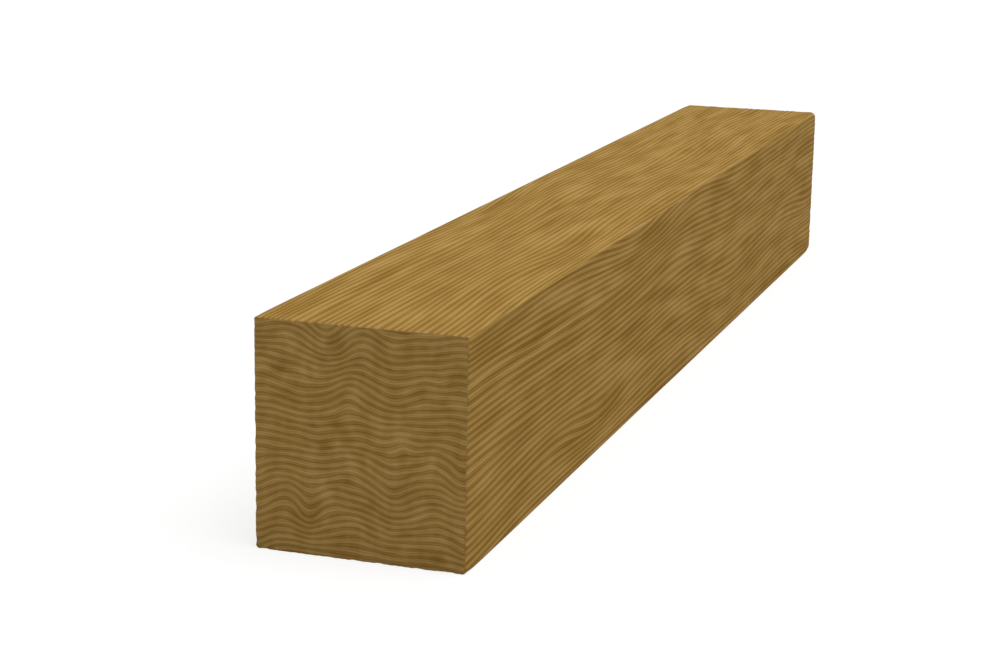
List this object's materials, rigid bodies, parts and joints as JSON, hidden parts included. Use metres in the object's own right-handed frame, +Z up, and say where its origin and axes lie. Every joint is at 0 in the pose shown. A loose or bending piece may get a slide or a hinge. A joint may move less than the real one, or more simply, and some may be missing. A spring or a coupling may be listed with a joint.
{
  "type": "squared timber beam",
  "caption": "Short squared beam of solid sawn timber with a nearly square section, eased long arrises and crosscut ends, for posts, sleepers, lintels and blocking.",
  "frame": {"origin": "under the middle of the beam, on the surface that its underside lies on", "axes": "+X along the length, towards the end nearest the viewer in the picture; +Y across the width; +Z up the depth"},
  "size_m": [1.2, 0.15, 0.16],
  "materials": {
    "timber": "matte"
  },
  "bodies": {
    "root": {"timber_beam": "timber"}
  },
  "joints": []
}
